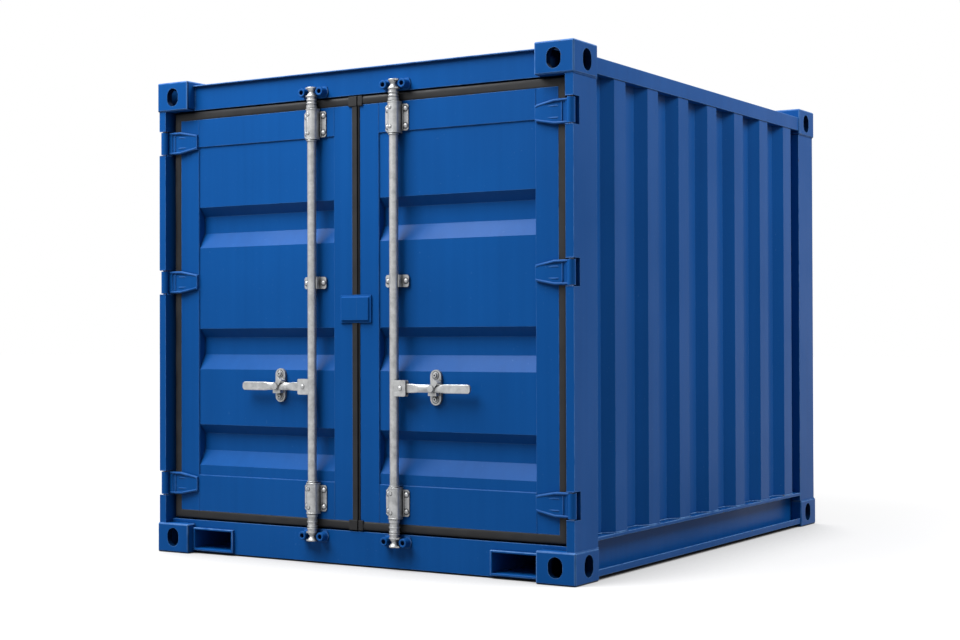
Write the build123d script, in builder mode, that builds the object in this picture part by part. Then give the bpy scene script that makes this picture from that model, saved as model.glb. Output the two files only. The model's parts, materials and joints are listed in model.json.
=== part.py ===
from build123d import *
import os

# Small steel storage container with two hinged doors, in millimetres.
# +X is to the right when facing the doors, +Y runs from the doors to the rear wall, +Z is up.
# The origin is on the ground, in the middle of the plan.
# Right-hand pieces are modelled and the left-hand ones are their mirror images.

# Overall size, over the corner castings
length = 2325.0
width = 1940.0
height = 1910.0

# Corner castings
casting_width = 162.0
casting_length = 178.0
casting_height = 118.0
casting_wall = 28.0
casting_inner_wall = 12.0
casting_plate = 20.0
casting_back_plate = 14.0
aperture_width = 63.5
aperture_height = 79.0
end_aperture_width = 58.0
end_aperture_height = 74.0
casting_bevel = 4.0
end_aperture_inset = 82.0
side_aperture_inset = 98.0
deck_aperture_length = 124.0

# Frame
frame_inset = 6.0
post_wall = 5.0
nose_width = 33.0
stop_width = 104.0
rear_post_width = 114.0
beam_wall = 4.0
header_inset = 46.0
header_depth = 60.0
header_height = 101.0
roof_lap = 30.0
sill_inset = 44.0
sill_depth = 79.0
sill_low = 6.0
sill_high = 133.0
door_stop_height = 38.0
rear_beam_depth = 60.0
top_rail_size = 60.0
top_rail_drop = 41.0
bottom_rail_low = 14.0
bottom_rail_high = 156.0
bottom_rail_flange = 52.0
bottom_rail_wall = 6.0
bottom_rail_upper_lip = 14.0
bottom_rail_lower_lip = 26.0

# Corrugated walls
sheet = 2.0
wave_pitch = 274.0
wave_crest = 90.0
wave_run = 46.0
wave_depth = 36.0
wall_inset = 10.0
side_wave_shift = 28.0

# Roof
rib_pitch = 232.0
rib_width = 130.0
rib_height = 16.0
rib_slant = 45.0
rib_margin = 60.0
roof_edge = 14.0

# Floor and the members under it
floor_top = 174.0
floor_thickness = 28.0
floor_gap = 4.0
member_pitch = 440.0
member_flange = 45.0
member_wall = 4.0

# Fork pockets
pocket_width = 207.0
pocket_low = 11.0
pocket_height = 92.0
pocket_wall = 9.0
pocket_inset = 31.0

# Doors
door_inset = 46.0
door_thickness = 46.0
door_gap = 5.0
seam_half = 18.0
leaf_wall = 3.0
drain_width = 20.0
drain_depth = 8.0
outer_stile = 94.0
inner_stile = 87.0
top_door_rail = 112.0
bottom_door_rail = 144.0
panel_recess = 5.0
trough_depth = 33.0
trough_upper_run = 36.0
trough_flat = 69.0
trough_lower_run = 59.0
lower_trough_rise = 205.0
middle_trough_shift = -71.5
upper_trough_drop = 245.0

# Door seals
seal_width = 33.0
seal_side_gap = 16.0
seal_rise = 4.0
seal_depth = 40.0
seal_round = 5.0
tee_half = 33.0
tee_lap = 5.0
tee_rise = 3.0
seam_left = 6.5
seam_right = 12.5

# Hinges
pin_inset = 17.0
pin_setback = 20.0
pin_diameter = 16.0
pin_clearance = 0.08
barrel_diameter = 30.0
barrel_height = 90.0
barrel_gap = 5.0
lower_hinge_rise = 161.0
middle_hinge_shift = 141.0
upper_hinge_drop = 129.0
lug_height = 14.0
notch_depth = 44.0
blade_reach = 157.0
blade_straight = 75.0
blade_end_height = 59.0
blade_inset = 30.0
blade_rim = 9.0
blade_taper = 7.0
blade_recess = 4.0

# Lock rods
rod_offset = 192.0
rod_setback = 20.0
rod_diameter = 34.0
neck_diameter = 26.0
waist_diameter = 20.0
spool_diameter = 38.0
spool_lip = 6.0
shoulder_gap = 1.0
lower_bearing_rise = 21.0
upper_bearing_drop = 122.0
housing_height = 119.0
housing_width = 46.0
housing_inset = 1.0
housing_round = 19.0
flange_width = 104.0
flange_height = 100.0
flange_thickness = 5.0
flange_corner = 6.0
guide_shift = 108.5
guide_height = 46.0
rod_clearance = 0.4
neck_clearance = 0.08
collar_diameter = 42.0
collar_height = 10.0
collar_gap = 2.0
sleeve_diameter = 36.0
lower_cam_drop = 27.0
upper_cam_rise = 23.0
cam_height = 37.0
cam_nose = 25.0
cam_nose_width = 26.0
cam_nose_corner = 7.0
keeper_plate = 5.0
keeper_width = 116.0
keeper_height = 46.0
keeper_throat = 52.0
keeper_boss = 30.0
keeper_boss_height = 34.0
keeper_boss_corner = 11.0
keeper_boss_inset = 8.0

# Handles
handle_middle = 680.0
cheek_thickness = 5.0
cheek_height = 60.0
cheek_reach = 60.0
cheek_inset = 5.0
cheek_round = 6.0
handle_thickness = 10.0
handle_play = 1.0
pivot_reach = 36.0
pivot_diameter = 14.0
handle_root_radius = 16.0
handle_height = 33.0
handle_reach = 338.0
handle_end_round = 10.0
neck_height = 27.0
neck_near = 108.0
neck_far = 206.0
neck_taper = 26.0

# Handle catches
catch_reach = 172.0
catch_width = 47.0
catch_height = 131.0
catch_middle = 684.0
catch_thickness = 6.0
cradle_width = 36.0
cradle_height = 13.0
cradle_inset = 16.0
rest_gap = 0.3
hasp_length = 36.0
hasp_width = 20.0
hasp_eye = 30.0
hasp_thickness = 4.0
hasp_angle = 52.0
hasp_tab = 24.0
boss_diameter = 24.0
boss_rise = 5.0
hasp_pin_diameter = 8.0

# Cover plates over the joint between the doors
cover_half_width = 73.0
cover_height = 107.0
cover_middle = 978.0
cover_inset = 28.0
cover_base = 6.0
cover_margin = 9.0
cover_bevel = 3.0

# Planes and edges that the sizes above set
front = -length / 2
rear = length / 2
casting_inner = width / 2 - casting_width
side_face = width / 2 - frame_inset
post_back = front + casting_length
rear_post_front = rear - casting_length
post_low = casting_height
post_high = height - casting_height
nose_inner = side_face - nose_width
stop_inner = side_face - stop_width
rear_post_inner = side_face - rear_post_width
top_rail_top = height - top_rail_drop
header_low = height - casting_height
header_high = header_low + header_height
leaf_front = front + door_inset
leaf_back = leaf_front + door_thickness
stop_face = leaf_back + door_gap
leaf_outer = nose_inner - seal_side_gap - seal_width
leaf_low = sill_high + door_gap + seal_width
leaf_high = header_low - door_gap - seal_width
panel_outer = leaf_outer - outer_stile
panel_inner = seam_half + inner_stile
panel_low = leaf_low + bottom_door_rail
panel_high = leaf_high - top_door_rail
seal_front = leaf_front - seal_rise
wall_face = width / 2 - wall_inset
wall_low = bottom_rail_high
wall_high = top_rail_top - top_rail_size
floor_low = floor_top - floor_thickness
wave_gap = wave_pitch - wave_crest - 2 * wave_run
pocket_high = pocket_low + pocket_height
pin_x = side_face - pin_inset
pin_y = front + pin_setback
notch_height = barrel_height + 2 * barrel_gap
rod_y = front + rod_setback
hinge_middles = (
    post_low + lower_hinge_rise,
    (post_low + post_high) / 2 + middle_hinge_shift,
    post_high - upper_hinge_drop,
)
trough_tops = (
    panel_low + lower_trough_rise,
    (panel_low + panel_high) / 2 + middle_trough_shift,
    panel_high - upper_trough_drop,
)
lower_bearing_low = leaf_low + lower_bearing_rise
upper_bearing_low = leaf_high - upper_bearing_drop
guide_middle = (lower_bearing_low + housing_height + upper_bearing_low) / 2 + guide_shift
lower_cam_middle = sill_high - lower_cam_drop
upper_cam_middle = header_low + upper_cam_rise
handle_front = front + cheek_inset + cheek_thickness + handle_play
handle_back = handle_front + handle_thickness
catch_x = rod_offset + catch_reach

os.makedirs("parts", exist_ok=True)


def save(piece, name):
    """Labels a finished piece and writes it as one STEP file."""
    piece.label = name
    export_step(piece, f"parts/{name}.step")


def mirrored(piece, plane):
    """Mirror image of a piece about a plane."""
    with BuildPart() as image:
        mirror(piece, about=plane)
    return image.part


def both_sides(piece):
    """A right-hand piece together with its left-hand mirror image."""
    with BuildPart() as pair:
        add(piece)
        mirror(piece, about=Plane.YZ)
    return pair.part


def save_left_and_right(piece, name):
    """Writes a right-hand piece and its left-hand mirror image as two files."""
    save(piece, f"{name}_right")
    save(mirrored(piece, Plane.YZ), f"{name}_left")


def upright(x, y):
    """Plane whose sketches stand on a vertical axis at x and y, facing the doors' side."""
    return Plane(origin=(x, y, 0), x_dir=(1, 0, 0), z_dir=(0, -1, 0))


def copies(span, pitch, gap):
    """Number of repeats that fit in a span, where a gap is left between two of them."""
    return int((span + gap) // pitch)


def wave_points(count, middle, start, end, low, high):
    """Trapezoid wave from start to end, flat at low between crests that rise to high."""
    points = [(low, start)]
    for index in range(count):
        centre = middle + (index - (count - 1) / 2) * wave_pitch
        points.append((low, centre - wave_crest / 2 - wave_run))
        points.append((high, centre - wave_crest / 2))
        points.append((high, centre + wave_crest / 2))
        points.append((low, centre + wave_crest / 2 + wave_run))
    points.append((low, end))
    return points


def corner_casting():
    """Hollow cast corner, front right at the bottom, open at its end, its side and underneath."""
    cavity_width = casting_width - casting_wall - casting_inner_wall
    cavity_length = casting_length - casting_wall - casting_inner_wall
    cavity_height = casting_height - casting_plate - casting_back_plate
    cavity_x = width / 2 - casting_wall - cavity_width / 2
    cavity_y = front + casting_wall + cavity_length / 2
    aperture_z = casting_plate + cavity_height / 2
    with BuildPart() as casting:
        with BuildSketch():
            with Locations((casting_inner, front)):
                Rectangle(casting_width, casting_length, align=(Align.MIN, Align.MIN))
        extrude(amount=casting_height)
        chamfer(casting.faces().sort_by(Axis.Z)[:-1].edges(), casting_bevel)
        with BuildSketch(Plane.XY.offset(casting_plate)):
            with Locations((cavity_x, cavity_y)):
                Rectangle(cavity_width, cavity_length)
        extrude(amount=cavity_height, mode=Mode.SUBTRACT)
        with BuildSketch(Plane.XY):
            with Locations((cavity_x, cavity_y)):
                SlotOverall(deck_aperture_length, aperture_width, rotation=90)
        extrude(amount=casting_plate, mode=Mode.SUBTRACT)
        with BuildSketch(Plane.XZ.offset(-front)):
            with Locations((width / 2 - end_aperture_inset, aperture_z)):
                SlotOverall(end_aperture_height, end_aperture_width, rotation=90)
        extrude(amount=-casting_wall, mode=Mode.SUBTRACT)
        with BuildSketch(Plane.YZ.offset(width / 2)):
            with Locations((front + side_aperture_inset, aperture_z)):
                SlotOverall(aperture_height, aperture_width, rotation=90)
        extrude(amount=-casting_wall, mode=Mode.SUBTRACT)
    return casting.part


def save_castings():
    """Writes the castings as four pairs, all mirror images of the first about the middle planes."""
    front_bottom = corner_casting()
    front_top = mirrored(front_bottom, Plane.XY.offset(height / 2))
    save(both_sides(front_bottom), "front_bottom_castings")
    save(both_sides(front_top), "front_top_castings")
    save(both_sides(mirrored(front_bottom, Plane.XZ)), "rear_bottom_castings")
    save(both_sides(mirrored(front_top, Plane.XZ)), "rear_top_castings")


def front_post():
    """Folded corner post with a narrow nose beside the door, notched for each hinge barrel."""
    with BuildPart() as post:
        with BuildSketch(Plane.XY.offset(post_low)):
            with BuildLine():
                Polyline(
                    (nose_inner, front + frame_inset),
                    (side_face, front + frame_inset),
                    (side_face, post_back),
                    (stop_inner, post_back),
                    (stop_inner, stop_face),
                    (nose_inner, stop_face),
                    close=True,
                )
            make_face()
            offset(amount=-post_wall, mode=Mode.SUBTRACT)
        extrude(amount=post_high - post_low)
        for middle in hinge_middles:
            low = middle - notch_height / 2
            with BuildSketch(Plane.XY.offset(low - lug_height)):
                with Locations((nose_inner, front + frame_inset)):
                    Rectangle(nose_width, notch_depth + post_wall, align=(Align.MIN, Align.MIN))
            extrude(amount=notch_height + 2 * lug_height)
            with BuildSketch(Plane.XY.offset(low)):
                with Locations((nose_inner, front + frame_inset)):
                    Rectangle(nose_width, notch_depth, align=(Align.MIN, Align.MIN))
            extrude(amount=notch_height, mode=Mode.SUBTRACT)
    return post.part


def rear_post():
    """Hollow square-cornered post at the rear."""
    with BuildPart() as post:
        with BuildSketch(Plane.XY.offset(post_low)):
            with Locations((side_face, rear_post_front)):
                Rectangle(
                    rear_post_width,
                    casting_length - frame_inset,
                    align=(Align.MAX, Align.MIN),
                )
            offset(amount=-post_wall, mode=Mode.SUBTRACT)
        extrude(amount=post_high - post_low)
    return post.part


def beam(points, half_length):
    """Hollow beam along X with its outline given in Y and Z."""
    with BuildPart() as piece:
        with BuildSketch(Plane.YZ.offset(-half_length)):
            with BuildLine():
                Polyline(*points, close=True)
            make_face()
            offset(amount=-beam_wall, kind=Kind.INTERSECTION, mode=Mode.SUBTRACT)
        extrude(amount=2 * half_length)
    return piece.part


def front_header():
    """Beam over the doors, with a stop behind them and a lap under the roof's front edge."""
    face = front + header_inset
    back = face + header_depth
    lap_low = top_rail_top - beam_wall
    with BuildPart() as header:
        add(
            beam(
                [
                    (face, header_low),
                    (face, header_high),
                    (back, header_high),
                    (back, header_low),
                ],
                casting_inner,
            )
        )
        with BuildSketch(Plane.YZ.offset(-casting_inner)):
            with Locations((back, lap_low)):
                Rectangle(post_back + roof_lap - back, beam_wall, align=(Align.MIN, Align.MIN))
        extrude(amount=2 * casting_inner)
        with BuildSketch(Plane.YZ.offset(-casting_inner)):
            with Locations((stop_face, header_low)):
                Rectangle(beam_wall, door_stop_height, align=(Align.MIN, Align.MAX))
        extrude(amount=2 * casting_inner)
    return header.part


def rear_header():
    """Beam over the rear wall, with a lap under the roof's rear edge."""
    face = rear - frame_inset
    back = face - rear_beam_depth
    with BuildPart() as header:
        add(
            beam(
                [
                    (face, header_low),
                    (face, header_high),
                    (back, header_high),
                    (back, header_low),
                ],
                casting_inner,
            )
        )
        with BuildSketch(Plane.YZ.offset(-casting_inner)):
            with Locations((back, top_rail_top - beam_wall)):
                Rectangle(
                    back - rear_post_front + roof_lap,
                    beam_wall,
                    align=(Align.MAX, Align.MIN),
                )
        extrude(amount=2 * casting_inner)
    return header.part


def pocket_outline(y, amount):
    """Rectangular space that both fork pockets take up, from y along +Y."""
    with BuildPart() as space:
        with BuildSketch(Plane.XZ.offset(-y)):
            with Locations((casting_inner, pocket_low), (-casting_inner + pocket_width, pocket_low)):
                Rectangle(pocket_width, pocket_height, align=(Align.MAX, Align.MIN))
        extrude(amount=-amount)
    return space.part


def front_sill():
    """Beam under the doors with a raised stop behind them, run on over the castings to the posts."""
    face = front + sill_inset
    back = face + sill_depth
    with BuildPart() as sill:
        add(
            beam(
                [
                    (face, sill_low),
                    (face, sill_high),
                    (stop_face, sill_high),
                    (stop_face, sill_high + door_stop_height),
                    (back, sill_high + door_stop_height),
                    (back, sill_low),
                ],
                casting_inner,
            )
        )
        add(pocket_outline(face, sill_depth), mode=Mode.SUBTRACT)
        with BuildSketch(Plane.XY.offset(post_low)):
            with Locations((0, face)):
                Rectangle(2 * nose_inner, stop_face - face, align=(Align.CENTER, Align.MIN))
                Rectangle(
                    2 * casting_inner,
                    stop_face - face,
                    align=(Align.CENTER, Align.MIN),
                    mode=Mode.SUBTRACT,
                )
        extrude(amount=sill_high - post_low)
        with BuildSketch(Plane.XY.offset(post_low)):
            with Locations((0, stop_face)):
                Rectangle(2 * stop_inner, back - stop_face, align=(Align.CENTER, Align.MIN))
                Rectangle(
                    2 * casting_inner,
                    back - stop_face,
                    align=(Align.CENTER, Align.MIN),
                    mode=Mode.SUBTRACT,
                )
        extrude(amount=sill_high + door_stop_height - post_low)
    return sill.part


def rear_sill():
    """Beam under the rear wall, cut out round the fork pockets."""
    face = rear - frame_inset
    back = face - rear_beam_depth
    with BuildPart() as sill:
        add(
            beam(
                [
                    (face, sill_low),
                    (face, bottom_rail_high),
                    (back, bottom_rail_high),
                    (back, sill_low),
                ],
                casting_inner,
            )
        )
        add(pocket_outline(back, rear_beam_depth), mode=Mode.SUBTRACT)
    return sill.part


def fork_pocket():
    """Square-edged steel tube that a fork slides into, from end to end under the floor."""
    start = front + pocket_inset
    middle = (casting_inner - pocket_width / 2, pocket_low + pocket_height / 2)
    with BuildPart() as pocket:
        with BuildSketch(Plane.XZ.offset(-start)):
            with Locations(middle):
                Rectangle(pocket_width, pocket_height)
                Rectangle(
                    pocket_width - 2 * pocket_wall,
                    pocket_height - 2 * pocket_wall,
                    mode=Mode.SUBTRACT,
                )
        extrude(amount=start - rear)
    return pocket.part


def top_side_rail():
    """Square tube along the top of a side wall."""
    with BuildPart() as rail:
        with BuildSketch(Plane.XZ.offset(-post_back)):
            with Locations((side_face, top_rail_top)):
                Rectangle(top_rail_size, top_rail_size, align=(Align.MAX, Align.MAX))
            offset(amount=-beam_wall, mode=Mode.SUBTRACT)
        extrude(amount=post_back - rear_post_front)
    return rail.part


def bottom_side_rail():
    """Channel with lipped flanges that opens outwards along the foot of a side wall."""
    web = side_face - bottom_rail_flange
    inner = web + bottom_rail_wall
    lip = side_face - bottom_rail_wall
    with BuildPart() as rail:
        with BuildSketch(Plane.XZ.offset(-post_back)):
            with BuildLine():
                Polyline(
                    (side_face, bottom_rail_high),
                    (web, bottom_rail_high),
                    (web, bottom_rail_low),
                    (side_face, bottom_rail_low),
                    (side_face, bottom_rail_low + bottom_rail_lower_lip),
                    (lip, bottom_rail_low + bottom_rail_lower_lip),
                    (lip, bottom_rail_low + bottom_rail_wall),
                    (inner, bottom_rail_low + bottom_rail_wall),
                    (inner, bottom_rail_high - bottom_rail_wall),
                    (lip, bottom_rail_high - bottom_rail_wall),
                    (lip, bottom_rail_high - bottom_rail_upper_lip),
                    (side_face, bottom_rail_high - bottom_rail_upper_lip),
                    close=True,
                )
            make_face()
        extrude(amount=post_back - rear_post_front)
    return rail.part


def side_wall():
    """Corrugated sheet between the front and rear posts, with upright trapezoid waves."""
    span = rear_post_front - post_back - 2 * side_wave_shift
    points = wave_points(
        copies(span, wave_pitch, wave_gap),
        side_wave_shift,
        post_back,
        rear_post_front,
        wall_face - wave_depth,
        wall_face,
    )
    with BuildPart() as wall:
        with BuildSketch(Plane.XY.offset(wall_low)):
            with BuildLine():
                Polyline(*points)
                offset(amount=sheet, side=Side.LEFT)
            make_face()
        extrude(amount=wall_high - wall_low)
    return wall.part


def rear_wall():
    """Corrugated sheet between the rear posts."""
    face = rear - wall_inset
    points = wave_points(
        copies(2 * rear_post_inner, wave_pitch, wave_gap),
        0,
        -rear_post_inner,
        rear_post_inner,
        face - wave_depth,
        face,
    )
    with BuildPart() as wall:
        with BuildSketch(Plane.XY.offset(bottom_rail_high)):
            with BuildLine():
                Polyline(*[(along, across) for across, along in points])
                offset(amount=sheet, side=Side.RIGHT)
            make_face()
        extrude(amount=header_low - bottom_rail_high)
    return wall.part


def roof():
    """Sheet on the top rails, pressed upwards into shallow ribs that run across it."""
    half_width = side_face - roof_edge
    rib_length = 2 * (half_width - rib_margin)
    rib_count = copies(rear_post_front - post_back, rib_pitch, rib_pitch - rib_width)
    with BuildPart() as sheet_part:
        with BuildSketch(Plane.XY.offset(top_rail_top)):
            Rectangle(2 * half_width, rear_post_front - post_back)
        extrude(amount=sheet)
        with BuildSketch(Plane.XY.offset(top_rail_top + sheet)):
            with GridLocations(0, rib_pitch, 1, rib_count):
                Rectangle(rib_length, rib_width)
        extrude(amount=rib_height, taper=rib_slant)
        with BuildSketch(Plane.XY.offset(top_rail_top)):
            with GridLocations(0, rib_pitch, 1, rib_count):
                Rectangle(rib_length - 2 * sheet, rib_width - 2 * sheet)
        extrude(amount=rib_height, taper=rib_slant, mode=Mode.SUBTRACT)
    return sheet_part.part


def floor():
    """Plywood floor, notched at the corners round the posts."""
    side = side_face - bottom_rail_flange - floor_gap
    corner = min(stop_inner, rear_post_inner) - floor_gap
    start = front + sill_inset + sill_depth + floor_gap
    end = rear - frame_inset - rear_beam_depth - floor_gap
    with BuildPart() as boards:
        with BuildSketch(Plane.XY.offset(floor_low)):
            Rectangle(2 * side, rear_post_front - post_back - 2 * floor_gap)
            with Locations((0, start)):
                Rectangle(2 * corner, end - start, align=(Align.CENTER, Align.MIN))
        extrude(amount=floor_thickness)
    return boards.part


def crossmembers():
    """Channels across the frame, between the floor and the fork pockets."""
    web = side_face - bottom_rail_flange
    depth = floor_low - pocket_high
    span = rear_post_front - post_back
    member_count = copies(span, member_pitch, member_pitch - member_flange)
    with BuildPart() as members:
        with BuildSketch(Plane.YZ.offset(-web)):
            with GridLocations(member_pitch, 0, member_count, 1):
                with Locations((0, pocket_high + depth / 2)):
                    Rectangle(member_flange, depth)
                with Locations((member_wall / 2, pocket_high + depth / 2)):
                    Rectangle(
                        member_flange - member_wall,
                        depth - 2 * member_wall,
                        mode=Mode.SUBTRACT,
                    )
        extrude(amount=2 * web)
    return members.part


def hinge_pins():
    """Pins of all six hinges, each between the faces of a notch, with a barrel round it."""
    with BuildPart() as pins:
        for middle in hinge_middles:
            with BuildSketch(Plane.XY.offset(middle - notch_height / 2)):
                with Locations((pin_x, pin_y), (-pin_x, pin_y)):
                    Circle(pin_diameter / 2)
            extrude(amount=notch_height)
    return pins.part


def keeper(x, face, middle):
    """Two plates on a beam's face, one each side of a cam, each with an eight-sided boss."""
    boss_depth = face - keeper_plate - front - keeper_boss_inset
    plate_width = (keeper_width - keeper_throat) / 2
    with BuildPart() as piece:
        for side in (-1, 1):
            inner = x + side * keeper_throat / 2
            with BuildSketch(Plane.XZ.offset(-face)):
                with Locations((inner + side * plate_width / 2, middle)):
                    Rectangle(plate_width, keeper_height)
            extrude(amount=keeper_plate)
            with BuildSketch(Plane.XZ.offset(keeper_plate - face)) as outline:
                with Locations((inner + side * keeper_boss / 2, middle)):
                    Rectangle(keeper_boss, keeper_boss_height)
                chamfer(outline.vertices(), keeper_boss_corner)
            extrude(amount=boss_depth)
    return piece.part


def cam_keepers():
    """The keepers' lugs, above and below each lock rod."""
    with BuildPart() as keepers:
        for x in (rod_offset, -rod_offset):
            add(keeper(x, front + sill_inset, lower_cam_middle))
            add(keeper(x, front + header_inset, upper_cam_middle))
    return keepers.part


def door_frame():
    """Hollow welded frame of a door leaf, with a drain slot in its foot."""
    middle_z = (leaf_low + leaf_high) / 2
    middle_x = (seam_half + leaf_outer) / 2
    panel_z = (panel_low + panel_high) / 2
    panel_x = (panel_inner + panel_outer) / 2
    leaf_width = leaf_outer - seam_half
    leaf_height = leaf_high - leaf_low
    panel_width = panel_outer - panel_inner
    panel_height = panel_high - panel_low
    with BuildPart() as frame:
        with BuildSketch(Plane.XZ.offset(-leaf_front)):
            with Locations((middle_x, middle_z)):
                Rectangle(leaf_width, leaf_height)
            with Locations((panel_x, panel_z)):
                Rectangle(panel_width, panel_height, mode=Mode.SUBTRACT)
        extrude(amount=-door_thickness)
        with BuildSketch(Plane.XZ.offset(-leaf_front - leaf_wall)):
            with Locations((middle_x, middle_z)):
                Rectangle(leaf_width - 2 * leaf_wall, leaf_height - 2 * leaf_wall)
            with Locations((panel_x, panel_z)):
                Rectangle(
                    panel_width + 2 * leaf_wall,
                    panel_height + 2 * leaf_wall,
                    mode=Mode.SUBTRACT,
                )
        extrude(amount=2 * leaf_wall - door_thickness, mode=Mode.SUBTRACT)
        with BuildSketch(Plane.XY.offset(leaf_low)):
            with Locations((panel_x, leaf_front + door_thickness / 2)):
                Rectangle(drain_width, drain_depth)
        extrude(amount=leaf_wall, mode=Mode.SUBTRACT)
    return frame.part


def door_panel():
    """Pressed sheet in the door frame, with three troughs that dip inwards across it."""
    face = leaf_front + panel_recess
    points = [(face, panel_low)]
    for top in trough_tops:
        flat_top = top - trough_upper_run
        flat_low = flat_top - trough_flat
        points.append((face, flat_low - trough_lower_run))
        points.append((face + trough_depth, flat_low))
        points.append((face + trough_depth, flat_top))
        points.append((face, top))
    points.append((face, panel_high))
    with BuildPart() as panel:
        with BuildSketch(Plane.YZ.offset(panel_inner)):
            with BuildLine():
                Polyline(*points)
                offset(amount=sheet, side=Side.RIGHT)
            make_face()
        extrude(amount=panel_outer - panel_inner)
    return panel.part


def door_seal(seam):
    """Rubber seal round the edges of the right leaf, from the joint between the doors."""
    seal_outer = leaf_outer + seal_width
    seal_low = leaf_low - seal_width
    seal_high = leaf_high + seal_width
    with BuildPart() as seal:
        with BuildSketch(Plane.XZ.offset(-seal_front)):
            with Locations((seam, seal_low)):
                Rectangle(seal_outer - seam, seal_high - seal_low, align=(Align.MIN, Align.MIN))
            with Locations((seam_half, leaf_low)):
                Rectangle(
                    leaf_outer - seam_half,
                    leaf_high - leaf_low,
                    align=(Align.MIN, Align.MIN),
                    mode=Mode.SUBTRACT,
                )
        extrude(amount=-seal_depth)
        outline = seal.faces().sort_by(Axis.Y)[0].outer_wire().edges()
        chamfer(outline.sort_by(Axis.X)[1:], seal_round)
        with BuildSketch(Plane.XZ.offset(-seal_front + tee_rise)):
            for low in (seal_low, leaf_high - tee_lap):
                with Locations((seam, low)):
                    Rectangle(tee_half - seam, seal_width + tee_lap, align=(Align.MIN, Align.MIN))
        extrude(amount=-tee_rise - seal_rise)
    return seal.part


def hinge_blades():
    """Three tapered blades with raised rims, each with a barrel round its pin."""
    end_x = pin_x - blade_reach
    straight_x = pin_x - blade_straight
    blade_front = front + blade_inset
    half = barrel_height / 2
    end_half = blade_end_height / 2
    with BuildPart() as blades:
        for middle in hinge_middles:
            with BuildSketch(Plane.XZ.offset(-blade_front)):
                with BuildLine():
                    Polyline(
                        (pin_x, middle - half),
                        (pin_x, middle + half),
                        (straight_x, middle + half),
                        (end_x, middle + end_half),
                        (end_x, middle - end_half),
                        (straight_x, middle - half),
                        close=True,
                    )
                make_face()
            extrude(amount=blade_front - leaf_front)
            with BuildSketch(Plane.XZ.offset(-blade_front)):
                with BuildLine():
                    Polyline(
                        (pin_x - barrel_diameter, middle - half + blade_rim),
                        (pin_x - barrel_diameter, middle + half - blade_rim),
                        (straight_x, middle + half - blade_rim),
                        (end_x + blade_rim, middle + end_half - blade_rim),
                        (end_x + blade_rim, middle - end_half + blade_rim),
                        (straight_x, middle - half + blade_rim),
                        close=True,
                    )
                make_face()
            extrude(amount=-blade_recess, mode=Mode.SUBTRACT)
            with BuildSketch(Plane.XY.offset(middle - half)):
                with BuildLine():
                    Polyline(
                        (end_x, blade_front),
                        (straight_x, blade_front),
                        (end_x, blade_front + blade_taper),
                        close=True,
                    )
                make_face()
            extrude(amount=barrel_height, mode=Mode.SUBTRACT)
            with BuildSketch(Plane.XY.offset(middle - half)):
                with Locations((leaf_outer, seal_front)):
                    Rectangle(
                        pin_x - leaf_outer,
                        leaf_front - seal_front,
                        align=(Align.MIN, Align.MIN),
                    )
            extrude(amount=barrel_height, mode=Mode.SUBTRACT)
            with BuildSketch(Plane.XY.offset(middle - half)):
                with Locations((pin_x, pin_y)):
                    Circle(barrel_diameter / 2)
            extrude(amount=barrel_height)
            with BuildSketch(Plane.XY.offset(middle - half)):
                with Locations((pin_x, pin_y)):
                    Circle(pin_diameter / 2 + pin_clearance)
            extrude(amount=barrel_height, mode=Mode.SUBTRACT)
    return blades.part


def rod_bearings():
    """Two bearing housings on flanges and a cradle between them, all fixed to a door."""
    housing_depth = leaf_front - flange_thickness - front - housing_inset
    housing_y = leaf_front - flange_thickness
    with BuildPart() as bearings:
        for low in (lower_bearing_low, upper_bearing_low):
            middle = low + housing_height / 2
            with BuildSketch(Plane.XZ.offset(-leaf_front)) as flange:
                with Locations((rod_offset, middle)):
                    Rectangle(flange_width, flange_height)
                chamfer(flange.vertices(), flange_corner)
            extrude(amount=flange_thickness)
            with BuildSketch(Plane.XY.offset(low)) as outline:
                with Locations((rod_offset, housing_y)):
                    Rectangle(housing_width, housing_depth, align=(Align.CENTER, Align.MAX))
                fillet(outline.vertices().group_by(Axis.Y)[0], housing_round)
            extrude(amount=housing_height)
            with BuildSketch(Plane.XY.offset(low)):
                with Locations((rod_offset, rod_y)):
                    Circle(neck_diameter / 2 + neck_clearance)
            extrude(amount=housing_height, mode=Mode.SUBTRACT)
        with BuildSketch(Plane.XZ.offset(-leaf_front)) as flange:
            with Locations((rod_offset, guide_middle)):
                Rectangle(flange_width, guide_height)
            chamfer(flange.vertices(), flange_corner)
        extrude(amount=flange_thickness)
        with BuildSketch(Plane.XY.offset(guide_middle - guide_height / 2)):
            with Locations((rod_offset, housing_y)):
                Rectangle(
                    housing_width,
                    housing_y - rod_y,
                    align=(Align.CENTER, Align.MAX),
                )
            with Locations((rod_offset, rod_y)):
                Circle(rod_diameter / 2 + rod_clearance, mode=Mode.SUBTRACT)
        extrude(amount=guide_height)
    return bearings.part


def rod_end(bearing_edge, cam_middle, step):
    """Stepped outline from a bearing to the end of a cam, as radius and height. Step is 1 upwards."""
    spool = spool_diameter / 2
    collar_start = bearing_edge + step * collar_gap
    collar_end = collar_start + step * collar_height
    cam_start = cam_middle - step * cam_height / 2
    cam_end = cam_middle + step * cam_height / 2
    return [
        (neck_diameter / 2, collar_start),
        (collar_diameter / 2, collar_start),
        (collar_diameter / 2, collar_end),
        (sleeve_diameter / 2, collar_end),
        (sleeve_diameter / 2, cam_start),
        (spool, cam_start),
        (spool, cam_start + step * spool_lip),
        (waist_diameter / 2, cam_middle),
        (spool, cam_end - step * spool_lip),
        (spool, cam_end),
        (0, cam_end),
    ]


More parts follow.
